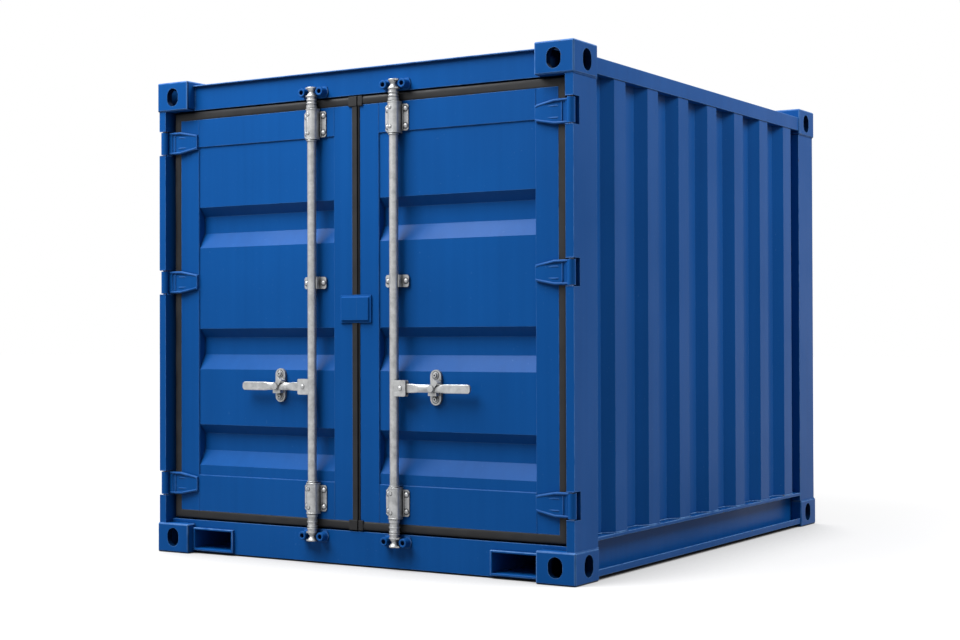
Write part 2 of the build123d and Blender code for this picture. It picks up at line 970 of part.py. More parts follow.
def lock_rod():
    """Turned rod with a waisted cam at each end and a forked hub that holds the handle's pivot."""
    bearing_top = lower_bearing_low + housing_height
    with BuildPart() as rod:
        with BuildSketch(upright(rod_offset, rod_y)):
            with BuildLine():
                Polyline(
                    *reversed(rod_end(lower_bearing_low, lower_cam_middle, -1)),
                    (neck_diameter / 2, bearing_top + shoulder_gap),
                    (rod_diameter / 2, bearing_top + shoulder_gap),
                    (rod_diameter / 2, upper_bearing_low - shoulder_gap),
                    (neck_diameter / 2, upper_bearing_low - shoulder_gap),
                    *rod_end(upper_bearing_low + housing_height, upper_cam_middle, 1),
                    close=True,
                )
            make_face()
        revolve(axis=Axis((rod_offset, rod_y, 0), (0, 0, 1)))
        for middle in (lower_cam_middle, upper_cam_middle):
            for lip_low in (middle - cam_height / 2, middle + cam_height / 2 - spool_lip):
                with BuildSketch(Plane.XY.offset(lip_low)) as nose:
                    with Locations((rod_offset, rod_y)):
                        Rectangle(cam_nose, cam_nose_width, align=(Align.MIN, Align.CENTER))
                    chamfer(nose.vertices().group_by(Axis.X)[-1], cam_nose_corner)
                extrude(amount=spool_lip)
        for cheek_front in (front + cheek_inset, handle_back + handle_play):
            with BuildSketch(Plane.XZ.offset(-cheek_front)) as cheek:
                with Locations((rod_offset, handle_middle)):
                    Rectangle(cheek_reach, cheek_height, align=(Align.MIN, Align.CENTER))
                fillet(cheek.vertices().group_by(Axis.X)[-1], cheek_round)
            extrude(amount=-cheek_thickness)
        with BuildSketch(Plane.XZ.offset(-front - cheek_inset)):
            with Locations((rod_offset + pivot_reach, handle_middle)):
                Circle(pivot_diameter / 2)
        extrude(amount=-2 * cheek_thickness - 2 * handle_play - handle_thickness)
    return rod.part


def handle():
    """Flat bar handle on its pivot, drawn in to a narrow neck where the catch holds it."""
    pivot_x = rod_offset + pivot_reach
    half = handle_height / 2
    neck_half = neck_height / 2
    near = rod_offset + neck_near
    far = rod_offset + neck_far
    with BuildPart() as bar:
        with BuildSketch(Plane.XZ.offset(-handle_front)) as outline:
            with BuildLine():
                Polyline(
                    (pivot_x, handle_middle + handle_root_radius),
                    (near - neck_taper, handle_middle + half),
                    (near, handle_middle + neck_half),
                    (far, handle_middle + neck_half),
                    (far + neck_taper, handle_middle + half),
                    (rod_offset + handle_reach, handle_middle + half),
                    (rod_offset + handle_reach, handle_middle - half),
                    (far + neck_taper, handle_middle - half),
                    (far, handle_middle - neck_half),
                    (near, handle_middle - neck_half),
                    (near - neck_taper, handle_middle - half),
                    (pivot_x, handle_middle - handle_root_radius),
                    close=True,
                )
            make_face()
            fillet(outline.vertices().group_by(Axis.X)[-1], handle_end_round)
            with Locations((pivot_x, handle_middle)):
                Circle(handle_root_radius)
                Circle(pivot_diameter / 2 + pin_clearance, mode=Mode.SUBTRACT)
            with Locations((catch_x, handle_middle)):
                Circle(hasp_pin_diameter / 2 + pin_clearance, mode=Mode.SUBTRACT)
        extrude(amount=-handle_thickness)
    return bar.part


def hasp(x):
    """Swivel hasp pinned to a handle's neck at x, with an arm and a bent tab over the catch plate."""
    face = handle_front - rest_gap
    with BuildPart() as piece:
        with BuildSketch(Plane.XZ.offset(-face)):
            with Locations((x, handle_middle)):
                Circle(boss_diameter / 2)
        extrude(amount=hasp_thickness + boss_rise)
        with BuildSketch(Plane.XZ.offset(-face)):
            with Locations((x, handle_middle)):
                Circle(hasp_eye / 2)
            with Locations(Location((x, handle_middle), hasp_angle)):
                Rectangle(hasp_length, hasp_width, align=(Align.MIN, Align.CENTER))
        extrude(amount=hasp_thickness)
        with BuildSketch(Plane.XZ.offset(-face)):
            with Locations(Location((x, handle_middle), hasp_angle)):
                with Locations((hasp_length - hasp_thickness / 2, 0)):
                    Rectangle(hasp_thickness, hasp_width)
        extrude(amount=-hasp_tab)
        with BuildSketch(Plane.XZ.offset(-face)):
            with Locations((x, handle_middle)):
                Circle(hasp_pin_diameter / 2)
        extrude(amount=-rest_gap - handle_thickness)
    return piece.part


def catch_plate():
    """Round-ended plate on the door with a cradle under the handle's neck."""
    plate_face = leaf_front - catch_thickness
    cradle_high = handle_middle - neck_height / 2 - rest_gap
    with BuildPart() as plate:
        with BuildSketch(Plane.XZ.offset(-leaf_front - panel_recess)):
            with Locations((catch_x, catch_middle)):
                SlotOverall(catch_height, catch_width, rotation=90)
        extrude(amount=catch_thickness + panel_recess)
        with BuildSketch(Plane.XZ.offset(-plate_face)):
            with Locations((catch_x, cradle_high)):
                Rectangle(cradle_width, cradle_height, align=(Align.CENTER, Align.MAX))
        extrude(amount=plate_face - front - cradle_inset)
    return plate.part


def cover_plate(seam):
    """Right half of the stepped plate over the joint between the doors, from the given seam."""
    with BuildPart() as plate:
        with BuildSketch(Plane.XZ.offset(-seal_front)):
            with Locations((seam, cover_middle)):
                Rectangle(cover_half_width - seam, cover_height, align=(Align.MIN, Align.CENTER))
        extrude(amount=cover_base)
        with BuildSketch(Plane.XZ.offset(-seal_front + cover_base)):
            with Locations((seam, cover_middle)):
                Rectangle(
                    cover_half_width - cover_margin - seam,
                    cover_height - 2 * cover_margin,
                    align=(Align.MIN, Align.CENTER),
                )
        extrude(amount=seal_front - cover_base - front - cover_inset)
        outline = plate.faces().sort_by(Axis.Y)[0].edges()
        chamfer(outline.sort_by(Axis.X)[1:], cover_bevel)
        with BuildSketch(Plane.XZ.offset(-leaf_front)):
            with Locations((seam_half, cover_middle)):
                Rectangle(
                    cover_half_width - seam_half,
                    cover_height,
                    align=(Align.MIN, Align.CENTER),
                )
        extrude(amount=leaf_front - seal_front)
    return plate.part


save_castings()
save_left_and_right(front_post(), "front_post")
save_left_and_right(rear_post(), "rear_post")
save(front_header(), "front_header")
save(rear_header(), "rear_header")
save(front_sill(), "front_sill")
save(rear_sill(), "rear_sill")
save_left_and_right(fork_pocket(), "fork_pocket")
save_left_and_right(top_side_rail(), "top_side_rail")
save_left_and_right(bottom_side_rail(), "bottom_side_rail")
save_left_and_right(side_wall(), "side_wall")
save(rear_wall(), "rear_wall")
save(roof(), "roof")
save(floor(), "floor")
save(crossmembers(), "crossmembers")
save(hinge_pins(), "hinge_pins")
save(cam_keepers(), "cam_keepers")
save_left_and_right(door_frame(), "door_frame")
save_left_and_right(door_panel(), "door_panel")
save(door_seal(seam_right), "door_seal_right")
save(mirrored(door_seal(-seam_left), Plane.YZ), "door_seal_left")
save_left_and_right(hinge_blades(), "hinge_blades")
save_left_and_right(rod_bearings(), "rod_bearings")
save_left_and_right(lock_rod(), "lock_rod")
save_left_and_right(handle(), "handle")
save(hasp(catch_x), "hasp_right")
save(hasp(-catch_x), "hasp_left")
save_left_and_right(catch_plate(), "catch_plate")
save(cover_plate(seam_right), "cover_plate_right")
save(mirrored(cover_plate(-seam_left), Plane.YZ), "cover_plate_left")
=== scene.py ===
import json
import math
import random

import bmesh
import bpy
from mathutils import Matrix, Vector


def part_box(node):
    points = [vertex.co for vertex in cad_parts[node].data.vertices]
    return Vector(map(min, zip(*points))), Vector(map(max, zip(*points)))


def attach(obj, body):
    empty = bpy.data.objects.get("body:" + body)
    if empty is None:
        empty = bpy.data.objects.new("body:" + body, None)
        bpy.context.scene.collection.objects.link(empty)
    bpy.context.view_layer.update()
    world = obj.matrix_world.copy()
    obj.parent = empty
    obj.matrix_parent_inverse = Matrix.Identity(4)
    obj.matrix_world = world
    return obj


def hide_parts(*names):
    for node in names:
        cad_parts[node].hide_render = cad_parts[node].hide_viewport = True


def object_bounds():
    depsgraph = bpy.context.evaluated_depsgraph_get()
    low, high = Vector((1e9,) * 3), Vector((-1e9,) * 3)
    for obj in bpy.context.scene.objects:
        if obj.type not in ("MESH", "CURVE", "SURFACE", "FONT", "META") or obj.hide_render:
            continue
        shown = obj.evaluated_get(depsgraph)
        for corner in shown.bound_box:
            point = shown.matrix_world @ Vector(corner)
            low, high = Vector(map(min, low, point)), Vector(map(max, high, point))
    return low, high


# Looks of a small blue steel container with galvanised lock gear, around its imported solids.
# Lengths are in metres in the frame's axes: doors at -Y, +X to the right, +Z up from the ground.

random.seed(7)

# Directions
SIGN = {"left": -1, "right": 1}
FRONT = (0, -1, 0)
UP = (0, 0, 1)

# Camera of the photograph
CAMERA_PLACE = (3.74998, -6.24996, 0.86776)
CAMERA_YAW = math.radians(-31.90843)
CAMERA_PITCH = math.radians(0.60161)
CAMERA_ROLL = math.radians(-0.16466)
CAMERA_LENS = 62.5221
CAMERA_SENSOR = 36.0

# Rounding of bends and edges
MERGE = 0.00002
FLAT_ANGLE = math.radians(1.0)
CORNER_ANGLE = math.radians(15.0)
SHARP_ANGLE = math.radians(42.0)
BEND_ANGLE = math.radians(4.0)

# Corner castings: rounding, scuffing and painted highlight on edges and rims, painted shade in their hollows, and
# the plates behind their side holes, painted dark as shade
CASTING_ROUNDING = 0.0026
RIM_ROUNDING = 0.0030
CHAMFER_WIDTH = 0.007
# Paleness of the castings' edges and hole rims: scuffing and a painted highlight
CASTING_WEAR_AND_LIGHT = 0.55
RIM_WEAR_AND_LIGHT = 1.5
RIM_DEPTH = 0.0035
HOLLOW_DEPTH = 0.008
# Painted shade on the holes' inner faces, in the hollows and on the plates behind the side holes
RIM_SHADE = -1.62
HOLLOW_SHADE = -1.95
LINER_SHADE = -2.0
LINER_DEPTH = 0.044
LINER_EDGE = 0.014
LINER_THICKNESS = 0.003

# Lock gear: how far its plates stand out from the leaf, its rings, hoops and bolts, and the painted shade round
# the bolts
FLANGE_DEPTH = 0.005
CATCH_DEPTH = 0.006
GUIDE_HEIGHT = 0.06
BOLT_SHADE = -0.85
HOUSING_HALF = 0.023
HOUSING_ROUND = 0.019
HOOP_RISE = 0.0017
HOOP_HEIGHT = 0.0055
RING_ROUND = 0.0010

# Hinges, frame and welds
HEADER_HEIGHT = 0.101
BLADE_DEPTH = 0.025
NOSE_WIDTH = 0.033
NOTCH_GAP = 0.0052
WELD_RIPPLE = 0.006
WELD_SIDES = 6
PANEL_WELD = 0.0024

# Colours, as linear values
BLUE = (0.0040, 0.075, 0.288, 1)
BLUE_DEEP = (0.0028, 0.063, 0.245, 1)
# Pale blue of scuffed edges and specks, and of the painted highlight on edges, bends and rims
BLUE_RUBBED_AND_LIT = (0.130, 0.270, 0.540, 1)
# Painted shade for crevices, hollows and the plates behind the castings' side holes
BLUE_SHADE = (0.001, 0.012, 0.045, 1)
CHIPPED = (0.110, 0.115, 0.125, 1)
ZINC = (0.485, 0.491, 0.494, 1)
ZINC_DARK = (0.255, 0.260, 0.263, 1)
# Brighter edges of galvanised steel: scuffing and a painted highlight
ZINC_BRIGHT = (0.72, 0.73, 0.73, 1)
# Painted shade on galvanised steel, in crevices and round bolt heads
ZINC_SHADE = (0.035, 0.036, 0.040, 1)
RUBBER = (0.007, 0.007, 0.008, 1)
# Dust on the rubber, and its paler edges as scuffing and a painted highlight
RUBBER_DUST_AND_SHEEN = (0.030, 0.030, 0.031, 1)
WOOD_LIGHT = (0.420, 0.265, 0.140, 1)
WOOD_DARK = (0.190, 0.105, 0.050, 1)
WHITE = (1, 1, 1, 1)

# Light and floor
FLOOR_SHADE = (0.22, 0.22, 0.223, 1)
FLOOR_BOUNCE = (0.16, 0.16, 0.16, 1)
FLOOR_GLOW = 0.76
GLOW_START = 1.7
GLOW_END = 6.0
SHADOW_REACH = 0.8
FLOOR_SIZE = 60.0
FLOOR_LEVEL = -0.0005
SURROUND = 0.30
# Name, place, target, width and power of each lamp
LAMPS = [
    ("overhead", (-1.8, -3.5, 5.7), (0, -1.1, 0.9), 4.2, 725),
    ("right_rear", (5.2, 1.2, 5.8), (0.97, -0.1, 1.2), 3.2, 395),
]

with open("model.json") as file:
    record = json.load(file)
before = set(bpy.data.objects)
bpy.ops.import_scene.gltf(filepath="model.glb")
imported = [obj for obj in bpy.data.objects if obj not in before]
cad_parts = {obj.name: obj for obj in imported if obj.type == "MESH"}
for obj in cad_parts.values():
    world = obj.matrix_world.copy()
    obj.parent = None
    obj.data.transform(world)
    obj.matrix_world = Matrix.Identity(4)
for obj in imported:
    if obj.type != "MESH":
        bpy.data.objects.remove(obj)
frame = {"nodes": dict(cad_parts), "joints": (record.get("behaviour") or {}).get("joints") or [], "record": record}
nodes = frame["nodes"]
record = frame["record"]
cad_low, cad_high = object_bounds()
joints = {joint["name"]: joint for joint in frame["joints"]}
slot_of = {part["node"]: part["material_slot"] for part in record["subparts"]}
body_of = {name: body for body, names in record["behaviour"]["bodies"].items() for name in names}
materials = {}


class Net:
    """Short way to write a material's nodes, with numbers, colours or sockets as inputs."""

    def __init__(self, tree):
        self.tree = tree

    def add(self, kind, settings=None, **inputs):
        """Adds a node. An input is named, with _ for a space, or numbered, as in i0."""
        node = self.tree.nodes.new("ShaderNode" + kind)
        for name, value in (settings or {}).items():
            setattr(node, name, value)
        for name, value in inputs.items():
            key = int(name[1:]) if name[1:].isdigit() else name.replace("_", " ")
            socket = node.inputs[key]
            if isinstance(value, bpy.types.NodeSocket):
                self.tree.links.new(value, socket)
            else:
                socket.default_value = value
        return node

    def math(self, operation, first, second=0.0):
        return self.add("Math", {"operation": operation}, i0=first, i1=second).outputs[0]

    def noise(self, where, scale, detail=4.0):
        settings = {"noise_dimensions": "3D"}
        node = self.add("TexNoise", settings, Vector=where, Scale=scale, Detail=detail)
        return node.outputs["Fac"]

    def stretched(self, where, scale):
        """Scales coordinates by a different amount along each axis."""
        return self.add("Mapping", Vector=where, Scale=scale).outputs[0]

    def spread(self, value, low, high, to_low=0.0, to_high=1.0):
        """Maps a value from one range to another, kept within the second."""
        node = self.add("MapRange", None, i0=value, i1=low, i2=high, i3=to_low, i4=to_high)
        return node.outputs[0]

    def mix(self, amount, first, second):
        """Mixes two colours."""
        settings = {"data_type": "RGBA"}
        return self.add("Mix", settings, i0=amount, i6=first, i7=second).outputs[2]

    def edges(self, radius):
        """Rises from 0 on flat ground towards 1 on an edge or in a corner."""
        bevel = self.add("Bevel", {"samples": 4}, Radius=radius).outputs[0]
        plain = self.add("NewGeometry").outputs["Normal"]
        dot = self.add("VectorMath", {"operation": "DOT_PRODUCT"}, i0=bevel, i1=plain)
        return self.math("SUBTRACT", 1.0, dot.outputs["Value"])

    def openness(self, reach, samples=4):
        """Is 1 in the open and falls towards 0 in a crevice or under something within reach."""
        return self.add("AmbientOcclusion", {"samples": samples}, Distance=reach).outputs["AO"]

    def bump(self, height, strength, distance, normal=None):
        node = self.add("Bump", None, Height=height, Strength=strength, Distance=distance)
        if normal:
            self.tree.links.new(normal, node.inputs["Normal"])
        return node.outputs[0]


def new_material(name):
    """Empty material with a surface shader, its net and its object coordinates."""
    material = bpy.data.materials.new(name)
    material.use_nodes = True
    net = Net(material.node_tree)
    shader = material.node_tree.nodes["Principled BSDF"]
    where = net.add("TexCoord").outputs["Object"]
    materials[name] = material
    return net, shader, where


def wire(net, shader, **links):
    """Joins sockets to a shader's inputs."""
    for name, socket in links.items():
        net.tree.links.new(socket, shader.inputs[name.replace("_", " ")])


def paint_material():
    """Satin blue paint: cloudy tone, faint streaks, scuffed and chipped edges paled also by a painted highlight,
    painted shade in crevices and hollows, and peel.
    """
    net, shader, where = new_material("blue_paint")
    cloud = net.noise(where, 1.6, 3.0)
    grain = net.noise(where, 22.0, 5.0)
    streaks = net.noise(net.stretched(where, (26.0, 26.0, 0.7)), 1.0, 4.0)
    tone = net.math("ADD", net.math("MULTIPLY", cloud, 0.6), net.math("MULTIPLY", streaks, 0.4))
    colour = net.mix(net.spread(tone, 0.36, 0.64), BLUE, BLUE_DEEP)
    bare = net.openness(0.022)
    # Mesh layer: paler where positive, for scuffing and a painted highlight; painted shade below -1
    bends = net.add("Attribute", {"attribute_name": "worn"}).outputs["Fac"]
    # Scuffed edges with a painted highlight: paler on edges and marked faces, less so in crevices
    rubbed_and_lit = net.spread(net.math("ADD", net.spread(net.edges(0.004), 0.03, 0.30), bends), 0.0, 1.0)
    rubbed_and_lit = net.math("MULTIPLY", rubbed_and_lit, net.spread(grain, 0.26, 0.52))
    rubbed_and_lit = net.math("MULTIPLY", rubbed_and_lit, net.spread(bare, 0.45, 0.75))
    colour = net.mix(net.math("MULTIPLY", rubbed_and_lit, 0.75), colour, BLUE_RUBBED_AND_LIT)
    speck = net.spread(net.noise(where, 130.0, 3.0), 0.71, 0.76)
    colour = net.mix(net.math("MULTIPLY", speck, 0.25), colour, BLUE_RUBBED_AND_LIT)
    flakes = net.spread(net.noise(where, 46.0, 3.0), 0.655, 0.675)
    chips = net.math("MULTIPLY", flakes, net.spread(rubbed_and_lit, 0.3, 0.6))
    colour = net.mix(chips, colour, CHIPPED)
    # Painted shade: darker in crevices and under things, from the occlusion, and on faces marked below -1
    crevices = net.spread(bare, 0.72, 0.20, 0.0, 0.85)
    painted_shade = net.math("MAXIMUM", crevices, net.spread(bends, -1.0, -2.0))
    colour = net.mix(painted_shade, colour, BLUE_SHADE)
    peel = net.noise(where, 420.0, 2.0)
    wave = net.noise(where, 5.0, 2.0)
    normal = net.bump(wave, 0.25, 0.004)
    normal = net.bump(peel, 0.06, 0.0008, normal)
    rough = net.math("ADD", cloud, net.math("MULTIPLY", rubbed_and_lit, 0.6))
    rough = net.spread(rough, 0.3, 1.0, 0.33, 0.55)
    wire(net, shader, Base_Color=colour, Roughness=rough, Normal=normal)
    shader.inputs["Specular IOR Level"].default_value = 0.065


def zinc_material():
    """Dull galvanised steel: faint spangle, grey blotches, edges brighter by scuffing and a painted highlight,
    painted shade in crevices and round bolt heads.
    """
    net, shader, where = new_material("galvanised_steel")
    cells = net.add("TexVoronoi", {"feature": "F1"}, Vector=where, Scale=120.0, Randomness=1.0)
    spangle = net.add("SeparateColor", None, Color=cells.outputs["Color"]).outputs[0]
    blotch = net.noise(where, 34.0, 6.0)
    amount = net.math("ADD", net.math("MULTIPLY", spangle, 0.35), net.spread(blotch, 0.35, 0.7))
    colour = net.mix(net.math("MULTIPLY", amount, 0.62), ZINC, ZINC_DARK)
    # Brighter edges: scuffing and a painted highlight
    worn = net.spread(net.edges(0.002), 0.03, 0.4)
    colour = net.mix(net.math("MULTIPLY", worn, 0.5), colour, ZINC_BRIGHT)
    # Painted shade in crevices, from the occlusion
    colour = net.mix(net.spread(net.openness(0.017), 0.88, 0.42, 0.0, 0.94), colour, ZINC_SHADE)
    # Painted shade round bolt heads, on faces marked negative
    painted_shade = net.add("Attribute", {"attribute_name": "worn"}).outputs["Fac"]
    colour = net.mix(net.spread(painted_shade, 0.0, -1.0), colour, ZINC_SHADE)
    rough = net.math("ADD", blotch, net.math("MULTIPLY", spangle, 0.3))
    rough = net.spread(rough, 0.3, 1.0, 0.32, 0.56)
    normal = net.bump(net.noise(where, 260.0, 4.0), 0.25, 0.0008)
    wire(net, shader, Base_Color=colour, Roughness=rough, Normal=normal)
    shader.inputs["Metallic"].default_value = 0.72


def rubber_material():
    """Black door rubber, dusty grey in patches, and paler on its edges, scuffed and with a painted highlight."""
    net, shader, where = new_material("black_rubber")
    patch = net.noise(where, 14.0, 5.0)
    # Paler edges: scuffing and a painted highlight
    worn = net.spread(net.edges(0.003), 0.02, 0.4)
    dust = net.math("MULTIPLY", net.spread(patch, 0.4, 0.75), 0.45)
    amount = net.math("ADD", dust, net.math("MULTIPLY", worn, 0.5))
    colour = net.mix(amount, RUBBER, RUBBER_DUST_AND_SHEEN)
    normal = net.bump(net.noise(where, 340.0, 3.0), 0.2, 0.0008)
    rough = net.spread(patch, 0.3, 0.7, 0.5, 0.72)
    wire(net, shader, Base_Color=colour, Roughness=rough, Normal=normal)
    shader.inputs["Specular IOR Level"].default_value = 0.25


def wood_material():
    """Sealed plywood with grain along the container."""
    net, shader, where = new_material("plywood")
    grain = net.noise(net.stretched(where, (40.0, 2.2, 40.0)), 1.0, 8.0)
    figure = net.noise(net.stretched(where, (7.0, 0.9, 7.0)), 1.0, 4.0)
    amount = net.math("ADD", net.math("MULTIPLY", grain, 0.55), net.math("MULTIPLY", figure, 0.45))
    colour = net.mix(net.spread(amount, 0.36, 0.64), WOOD_LIGHT, WOOD_DARK)
    normal = net.bump(grain, 0.3, 0.0015)
    rough = net.spread(figure, 0.3, 0.7, 0.42, 0.6)
    wire(net, shader, Base_Color=colour, Roughness=rough, Normal=normal)


def link(name, mesh):
    """Puts a mesh in the scene as an object."""
    piece = bpy.data.objects.new(name, mesh)
    bpy.context.scene.collection.objects.link(piece)
    return piece


def finish_piece(name, bm, slot, body):
    """Makes a shown piece of a finished mesh and lets it ride on a body."""
    bmesh.ops.recalc_face_normals(bm, faces=bm.faces)
    mesh = bpy.data.meshes.new(name)
    bm.to_mesh(mesh)
    bm.free()
    mesh.materials.append(materials[slot])
    mesh.polygons.foreach_set("use_smooth", [True] * len(mesh.polygons))
    mesh.set_sharp_from_angle(angle=SHARP_ANGLE)
    piece = link(name, mesh)
    weighted = piece.modifiers.new("normals", "WEIGHTED_NORMAL")
    weighted.keep_sharp = True
    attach(piece, body)
    return piece


def solid_mesh(node):
    """Mesh of a CAD node with its triangles joined into flat faces."""
    bm = bmesh.new()
    bm.from_mesh(nodes[node].data)
    bmesh.ops.remove_doubles(bm, verts=bm.verts, dist=MERGE)
    bmesh.ops.dissolve_limit(bm, angle_limit=FLAT_ANGLE, verts=bm.verts, edges=bm.edges)
    return bm


def islands(node):
    """Boxes of a node's separate solids, from the lowest to the highest and left to right."""
    bm = solid_mesh(node)
    left = set(bm.verts)
    boxes = []
    while left:
        found = [left.pop()]
        for vert in found:
            for edge in vert.link_edges:
                other = edge.other_vert(vert)
                if other in left:
                    left.remove(other)
                    found.append(other)
        spots = [vert.co for vert in found]
        low = Vector([min(spot[axis] for spot in spots) for axis in range(3)])
        high = Vector([max(spot[axis] for spot in spots) for axis in range(3)])
        boxes.append((low, high))
    bm.free()
    return sorted(boxes, key=lambda box: [round(box[0][axis], 4) for axis in (2, 0, 1)])


def is_corner(edge, width, shortest):
    """Whether an edge lies between two faces that are both wider than width."""
    if len(edge.link_faces) != 2 or edge.calc_face_angle(0) < CORNER_ANGLE:
        return False
    length = edge.calc_length()
    if length < shortest:
        return False
    return all(face.calc_area() / length > width for face in edge.link_faces)


def round_edges(bm, edges, radius, segments, wear_and_light_level):
    """Rounds edges and marks the outward bends as paler by the given amount, for scuffing and a painted highlight.
    """
    worn = wear_and_light_layer(bm)
    made = bmesh.ops.bevel(
        bm,
        geom=edges,
        offset=radius,
        offset_type="OFFSET",
        segments=segments,
        profile=0.5,
        affect="EDGES",
        clamp_overlap=True,
    )
    for face in made["faces"]:
        bends = [edge for edge in face.edges if edge.calc_face_angle(0) > BEND_ANGLE]
        if bends and all(edge.is_convex for edge in bends):
            face[worn] = wear_and_light_level


def rounded(node, radius, segments=3, wear_and_light_level=0.7):
    """Shows a CAD node as a copy of itself with rounded edges and bends."""
    bm = solid_mesh(node)
    edges = [edge for edge in bm.edges if is_corner(edge, 1.6 * radius, 3.2 * radius)]
    round_edges(bm, edges, radius, segments, wear_and_light_level)
    piece = finish_piece(f"{node}_shape", bm, slot_of[node], body_of[node])
    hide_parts(node)


def casting_pair(node):
    """Shows two corner castings: soft edges, scuffed and with a painted highlight, painted shade in their hollows,
    and plates behind the side holes, painted dark as shade.
    """
    bm = solid_mesh(node)
    worn = wear_and_light_layer(bm)
    boxes = islands(node)
    # Painted shade on faces deep in the holes and hollows; paler chamfers for scuffing and a painted highlight
    for face in bm.faces:
        middle = face.calc_center_median()
        depth = max(
            min(min(middle[axis] - low[axis], high[axis] - middle[axis]) for axis in range(3))
            for low, high in boxes
        )
        longest = max(edge.calc_length() for edge in face.edges)
        if depth > HOLLOW_DEPTH:
            face[worn] = HOLLOW_SHADE
        elif depth > RIM_DEPTH:
            face[worn] = RIM_SHADE
        elif face.calc_area() / longest < CHAMFER_WIDTH:
            face[worn] = CASTING_WEAR_AND_LIGHT
    edges = [edge for edge in bm.edges if edge.is_convex and edge.calc_length() > 0.10]
    edges = [edge for edge in edges if is_corner(edge, 0.005, 0.0)]
    round_edges(bm, edges, CASTING_ROUNDING, 3, CASTING_WEAR_AND_LIGHT)
    rims = [edge for edge in bm.edges if edge.calc_length() < 0.06]
    rims = [edge for edge in rims if is_corner(edge, 0.0085, 0.0)]
    round_edges(bm, rims, RIM_ROUNDING, 3, RIM_WEAR_AND_LIGHT)
    # Plates behind the side holes, painted dark as shade so that the holes look dark inside
    for low, high in boxes:
        sign = 1 if high.x > 0 else -1
        x = outer_x((low, high), sign) - sign * LINER_DEPTH
        spots = [
            (x, low.y + LINER_EDGE, low.z + LINER_EDGE),
            (x, high.y - LINER_EDGE, low.z + LINER_EDGE),
            (x, high.y - LINER_EDGE, high.z - LINER_EDGE),
            (x, low.y + LINER_EDGE, high.z - LINER_EDGE),
        ]
        count = len(bm.faces)
        loft(bm, [spots, [(px - sign * LINER_THICKNESS, py, pz) for px, py, pz in spots]])
        mark_wear_and_light(bm, LINER_SHADE, count)
    piece = finish_piece(f"{node}_shape", bm, slot_of[node], body_of[node])
    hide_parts(node)


def wear_and_light_layer(bm):
    """Layer of a mesh that says how pale each face is made, for scuffing and a painted highlight, or how dark with
    painted shade where it is negative.
    """
    return bm.faces.layers.float.get("worn") or bm.faces.layers.float.new("worn")


def mark_wear_and_light(bm, wear_and_light_level, since=0):
    """Marks a mesh's faces with an amount of scuffing and painted highlight, or of painted shade where it is
    negative, from the one numbered since onwards.
    """
    worn = wear_and_light_layer(bm)
    bm.faces.ensure_lookup_table()
    for face in bm.faces[since:]:
        face[worn] = wear_and_light_level


def blend(x, points):
    """Value at x on a smooth line through pairs of place and value."""
    for (start, first), (end, second) in zip(points, points[1:]):
        if x <= end:
            part = (x - start) / (end - start)
            part = part * part * (3 - 2 * part)
            return first + (second - first) * part
    return points[-1][1]


def outer_x(box, sign):
    """X of the side of a box that faces away from the middle, or towards it for the other sign."""
    low, high = box
    return high.x if sign > 0 else low.x


def loft(bm, rings):
    """Joins closed rings of points into a skin with flat ends."""
    made = [[bm.verts.new(spot) for spot in ring] for ring in rings]
    for first, second in zip(made, made[1:]):
        for step in range(len(first)):
            after = (step + 1) % len(first)
            bm.faces.new((first[step], first[after], second[after], second[step]))
    bm.faces.new(list(reversed(made[0])))
    bm.faces.new(made[-1])


def lathe(bm, centre, axis, profile, segments=24):
    """Adds a turned shape round an axis, from pairs of radius and height along the axis."""
    turn = Vector(axis).to_track_quat("Z", "Y").to_matrix()
    rings = []
    for radius, height in profile:
        ring = []
        for step in range(segments):
            angle = 2 * math.pi * step / segments
            spot = Vector((radius * math.cos(angle), radius * math.sin(angle), height))
            ring.append(Vector(centre) + turn @ spot)
        rings.append(ring)
    loft(bm, rings)


def bolt(bm, centre, size, hole):
    """Adds a washer and a round head with a hole in its top, seated on a face at centre."""
    washer = [
        (size * 0.95, 0.0),
        (size * 0.95, size * 0.10),
        (size * 0.88, size * 0.16),
        (size * 0.50, size * 0.16),
    ]
    lathe(bm, centre, FRONT, washer)
    seat = Vector(centre) + Vector(FRONT) * size * 0.16
    head = [
        (size * 0.66, 0.0),
        (size * 0.66, size * 0.40),
        (size * 0.56, size * 0.52),
        (size * hole, size * 0.52),
        (size * hole * 0.9, size * 0.12),
    ]
    lathe(bm, seat, FRONT, head)


def rivet(bm, centre, radius, rise):
    """Adds a domed rivet head seated on a face at centre."""
    profile = [(radius, 0.0), (radius, radius * 0.12)]
    for step in range(1, 6):
        angle = math.pi / 2 * step / 6
        profile.append((radius * math.cos(angle), radius * rise * math.sin(angle)))
    lathe(bm, centre, FRONT, profile, 16)


def shade_ring(bm, centre, radius):
    """Adds a thin dark ring round a bolt's head: painted shade."""
    count = len(bm.faces)
    profile = [(radius, 0.0), (radius, 0.00025), (radius * 0.55, 0.00035)]
    lathe(bm, centre, FRONT, profile)
    mark_wear_and_light(bm, BOLT_SHADE, count)


def weld(bm, points, radius, ripple=WELD_RIPPLE, swell=0.14):
    """Adds a rippled weld bead along a run of points."""
    for start, end in zip(points, points[1:]):
        start, end = Vector(start), Vector(end)
        along = end - start
        count = max(4, round(along.length / ripple * 3))
        turn = along.to_track_quat("Z", "Y").to_matrix()
        rings = []
        for step in range(count + 1):
            place = start + along * step / count
            wave = math.sin(2 * math.pi * step / count * along.length / ripple)
            size = radius * (0.9 + swell * wave + random.uniform(-0.06, 0.06))
            ring = []
            for corner in range(WELD_SIDES):
                angle = 2 * math.pi * corner / WELD_SIDES
                spot = Vector((math.cos(angle), math.sin(angle), 0)) * size
                ring.append(place + turn @ spot)
            rings.append(ring)
        loft(bm, rings)


